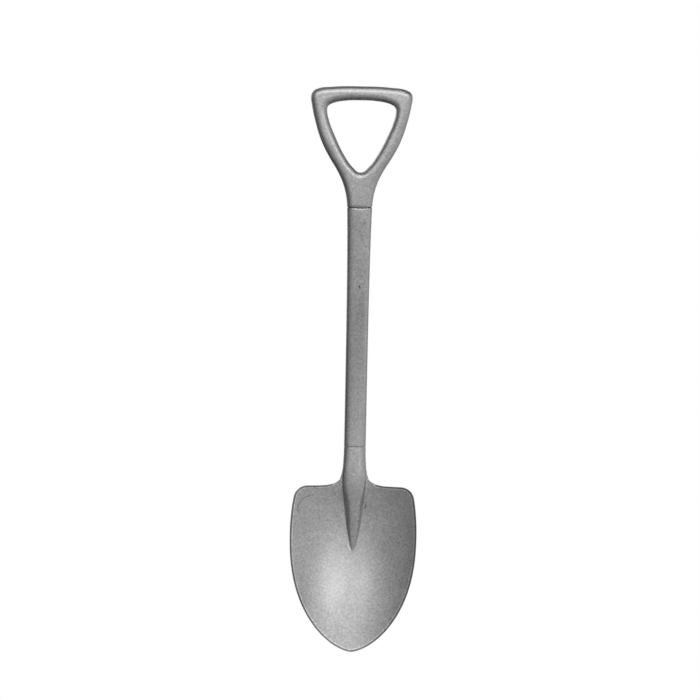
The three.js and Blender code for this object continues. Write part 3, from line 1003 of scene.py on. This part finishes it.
# %% Group: pits
def pits():
    """Sparse small holes that the stones never reached. Pit is 1 in a hole."""
    group, start, end = new_group(
        "pits",
        [("Place", "NodeSocketVector", None), ("Spacing", "NodeSocketFloat", 0.012),
         ("Size", "NodeSocketFloat", 0.05), ("Share", "NodeSocketFloat", 0.3)],
        ["Pit"])
    cells = group.nodes.new("ShaderNodeTexVoronoi")
    feed(group, cells.inputs["Vector"], start.outputs["Place"])
    feed(group, cells.inputs["Scale"], maths(group, "DIVIDE", 1.0, start.outputs["Spacing"]))
    away = maths(group, "DIVIDE", cells.outputs["Distance"], start.outputs["Size"])
    hole = maths(group, "SUBTRACT", 1.0, away)
    hole = maths(group, "MAXIMUM", hole, 0.0)
    split = group.nodes.new("ShaderNodeSeparateColor")
    feed(group, split.inputs[0], cells.outputs["Color"])
    chosen = maths(group, "LESS_THAN", split.outputs[0], start.outputs["Share"])
    feed(group, end.inputs["Pit"], maths(group, "MULTIPLY", hole, chosen))
    return group


PITS = pits()
print("group:", PITS.name)


# %% Group: one mark at a known place
def single_mark():
    """A soft spot or stroke. Turn leans it in the plane of the blade, and Reach is its half size each way."""
    group, start, end = new_group(
        "single mark",
        [("Place", "NodeSocketVector", None), ("Centre", "NodeSocketVector", None),
         ("Turn", "NodeSocketFloat", 0.0), ("Reach", "NodeSocketVector", (0.001, 0.01, 0.001))],
        ["Mark"])
    offset = vectors(group, "SUBTRACT", start.outputs["Place"], start.outputs["Centre"])
    rotate = group.nodes.new("ShaderNodeVectorRotate")
    rotate.rotation_type = "Y_AXIS"
    feed(group, rotate.inputs["Vector"], offset)
    feed(group, rotate.inputs["Angle"], start.outputs["Turn"])
    reach = vectors(group, "DIVIDE", rotate.outputs[0], start.outputs["Reach"])
    away = vectors(group, "LENGTH", reach, (0, 0, 0))
    feed(group, end.inputs["Mark"], span(group, away, 0.35, 1.0, 1.0, 0.0, True))
    return group


MARK = single_mark()
print("group:", MARK.name)


# %% Group: painted shade and painted highlight along the rim
def painted_rim_light():
    """Painted shade on the rim's outer edge, where the rounded edge turns from the light, and a painted
    highlight just inside it, from the distance to the rim.
    """
    inputs = [("Distance", "NodeSocketFloat", 10.0)]
    group, start, end = new_group("rim painted shade and highlight", inputs, ["Ground", "Painted Highlight"])
    away = start.outputs["Distance"]
    feed(group, end.inputs["Ground"], span(group, away, 1.1, 1.9, 1.0, 0.0, True))
    rising = span(group, away, 1.5, 2.1, 0, 1, True)
    falling = span(group, away, 2.5, 3.3, 1, 0, True)
    feed(group, end.inputs["Painted Highlight"], maths(group, "MULTIPLY", rising, falling))
    return group


PAINTED_RIM_LIGHT = painted_rim_light()
print("group:", PAINTED_RIM_LIGHT.name)


# %% Group: the press's corner mark
def corner_arc():
    """A thin quarter ring, left by the edge of the press tool in one corner of the blade."""
    group, start, end = new_group(
        "corner arc",
        [("Place", "NodeSocketVector", None), ("Centre", "NodeSocketVector", None),
         ("Radius", "NodeSocketFloat", 0.017), ("Width", "NodeSocketFloat", 0.0014)],
        ["Arc"])
    offset = vectors(group, "SUBTRACT", start.outputs["Place"], start.outputs["Centre"])
    offset = vectors(group, "MULTIPLY", offset, (1, 0, 1))
    away = maths(group, "SUBTRACT", vectors(group, "LENGTH", offset, (0, 0, 0)), start.outputs["Radius"])
    ring = maths(group, "DIVIDE", maths(group, "ABSOLUTE", away), start.outputs["Width"])
    ring = span(group, ring, 0.2, 1.0, 1.0, 0.0, True)
    split = group.nodes.new("ShaderNodeSeparateXYZ")
    feed(group, split.inputs[0], offset)
    left = span(group, split.outputs["X"], -0.004, 0.006, 1.0, 0.0, True)
    upper = span(group, split.outputs["Z"], -0.010, 0.0, 0.0, 1.0, True)
    feed(group, end.inputs["Arc"], maths(group, "MULTIPLY", ring, maths(group, "MULTIPLY", left, upper)))
    return group


ARC = corner_arc()
print("group:", ARC.name)

# %% [markdown]
# The steel itself is put together once, as a function of a few amounts. The marks at known places are dents
# and strokes that each piece has of its own, such as the two pits above the middle of the shaft. On the
# blade, the bright stroke by the ridge's point is a painted highlight, and the dark spot beside the ridge is
# painted shade in a small dent that the bump also makes.

# %% Steel, from the groups
ROUGH_SPREAD = 0.06


def use_group(tree, group, **inputs):
    node = tree.nodes.new("ShaderNodeGroup")
    node.node_tree = group
    for name, value in inputs.items():
        feed(tree, node.inputs[name.replace("_", " ")], value)
    return node


def tint(tree, tone, mask, amount):
    """Multiplies a tone by 1 + amount where the mask is 1. A negative amount darkens it."""
    return maths(tree, "MULTIPLY", tone, maths(tree, "ADD", 1.0, maths(tree, "MULTIPLY", mask, amount)))


def steel(name, tone, rough, dent_size, grain, marks=(), rim=False, arc=None):
    """Tumbled steel. marks are (centre, turn in degrees, reach, change of tone), in millimetres."""
    material = bpy.data.materials.new(name)
    material.use_nodes = True
    tree = material.node_tree
    bsdf = tree.nodes["Principled BSDF"]
    bsdf.inputs["Metallic"].default_value = 1
    where = tree.nodes.new("ShaderNodeTexCoord").outputs["Object"]
    grained = use_group(tree, GRAIN, Place=where, Dent_Size=dent_size)
    line = use_group(tree, SCUFFS, Place=where, Spacing=0.006, Width=0.018).outputs["Line"]
    pit = use_group(tree, PITS, Place=where, Spacing=0.011, Size=0.055, Share=0.35).outputs["Pit"]
    cloud = span(tree, noise(tree, where, 38.0, 3.0, 0.55), 0.3, 0.7, -1.0, 1.0)
    shade = tint(tree, tone, grained.outputs["Shade"], grain)
    shade = tint(tree, shade, cloud, 0.05)
    shade = tint(tree, shade, line, 0.28)
    shade = tint(tree, shade, pit, -0.45)
    height = maths(tree, "SUBTRACT", grained.outputs["Height"], maths(tree, "MULTIPLY", pit, 1.2))
    for centre, turn, reach, change in marks:
        mark = use_group(tree, MARK, Place=where, Centre=place(*centre), Turn=math.radians(turn),
                         Reach=Vector(reach) * MM).outputs["Mark"]
        shade = tint(tree, shade, mark, change)
        height = maths(tree, "SUBTRACT", height, maths(tree, "MULTIPLY", mark, 0.8 if change < 0 else 0.0))
    unevenness = maths(tree, "ADD", grained.outputs["Shade"], cloud)
    rough_value = span(tree, unevenness, -1.5, 1.5, rough - ROUGH_SPREAD, rough + ROUGH_SPREAD)
    # rim=True paints shade along the sheet's outer edge and a highlight just inside it
    if rim:
        stored = tree.nodes.new("ShaderNodeAttribute")
        stored.attribute_name = "rim"
        rim_paint = use_group(tree, PAINTED_RIM_LIGHT, Distance=stored.outputs["Fac"])
        # painted shade along the rim's outer edge, then a painted highlight just inside it
        shade = tint(tree, shade, rim_paint.outputs["Ground"], -0.55)
        shade = tint(tree, shade, rim_paint.outputs["Painted Highlight"], 0.42)
    if arc:
        ring = use_group(tree, ARC, Place=where, Centre=place(*arc)).outputs["Arc"]
        shade = tint(tree, shade, ring, -0.3)
    feed(tree, bsdf.inputs["Base Color"], shade)
    feed(tree, bsdf.inputs["Roughness"], rough_value)
    bump = tree.nodes.new("ShaderNodeBump")
    bump.inputs["Strength"].default_value = 0.5
    bump.inputs["Distance"].default_value = 0.00015
    feed(tree, bump.inputs["Height"], height)
    feed(tree, bsdf.inputs["Normal"], bump.outputs["Normal"])
    return material


blade_steel = steel(
    "blade_steel", 0.54, 0.40, 0.0025, 0.36, rim=True, arc=(-52, 0, 175),
    # the second mark, a dark spot just right of the ridge, is painted shade in a shallow dent, over a real
    # bump dent
    marks=[((41.3, 0, 89.8), 60, (1.0, 30, 2.0), -0.5), ((14.7, 0, 179.5), -11, (1.5, 30, 6.0), -0.5),
           # the fourth mark, a bright stroke just left of the ridge's point, is a painted highlight on the
           # ridge's flank
           ((-49, 0, 201.6), 0, (2.0, 30, 1.3), -0.5), ((-5.3, 0, 128.8), 32, (0.9, 30, 6.0), 0.55),
           ((-20, 0, 104), 40, (0.9, 30, 1.3), -0.3), ((20, 0, 63), -20, (0.9, 30, 1.2), -0.25)])
shaft_steel = steel(
    "shaft_steel", 0.53, 0.40, 0.0024, 0.32,
    marks=[((4.6, -8.8, 464.5), 20, (1.3, 4, 1.7), -0.6), ((1.9, -8.8, 451.5), 15, (1.5, 4, 2.6), -0.75),
           ((-6.5, -8.8, 392), 0, (0.8, 4, 1.2), -0.3)])
cast = steel(
    "cast_steel", 0.55, 0.45, 0.0023, 0.32,
    marks=[((30.1, -8, 620.5), -58, (0.6, 12, 6.0), 0.3), ((30.8, -8, 619.4), -58, (0.6, 12, 5.0), -0.3)])
ground = steel("ground_pin", 0.60, 0.36, 0.0012, 0.10)
print("finishes:", [m.name for m in (blade_steel, shaft_steel, cast, ground)])

# %% [markdown]
# ## Handing the pieces over
#
# Each finished piece takes the place of one CAD node and rides with the root, since nothing on this shovel
# moves.

# %% Hand over
for piece, node, slot, material in (
    (blade, "blade", "tumbled_steel", blade_steel),
    (shaft, "shaft_tube", "tumbled_steel", shaft_steel),
    (grip, "d_grip", "cast_steel", cast),
    *((pins[node], node, "pin_steel", ground) for node in pins),
):
    piece.data.materials.clear()
    piece.data.materials.append(material)
    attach(piece, "root")
    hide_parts(node)
    print(piece.name, "stands for", node)
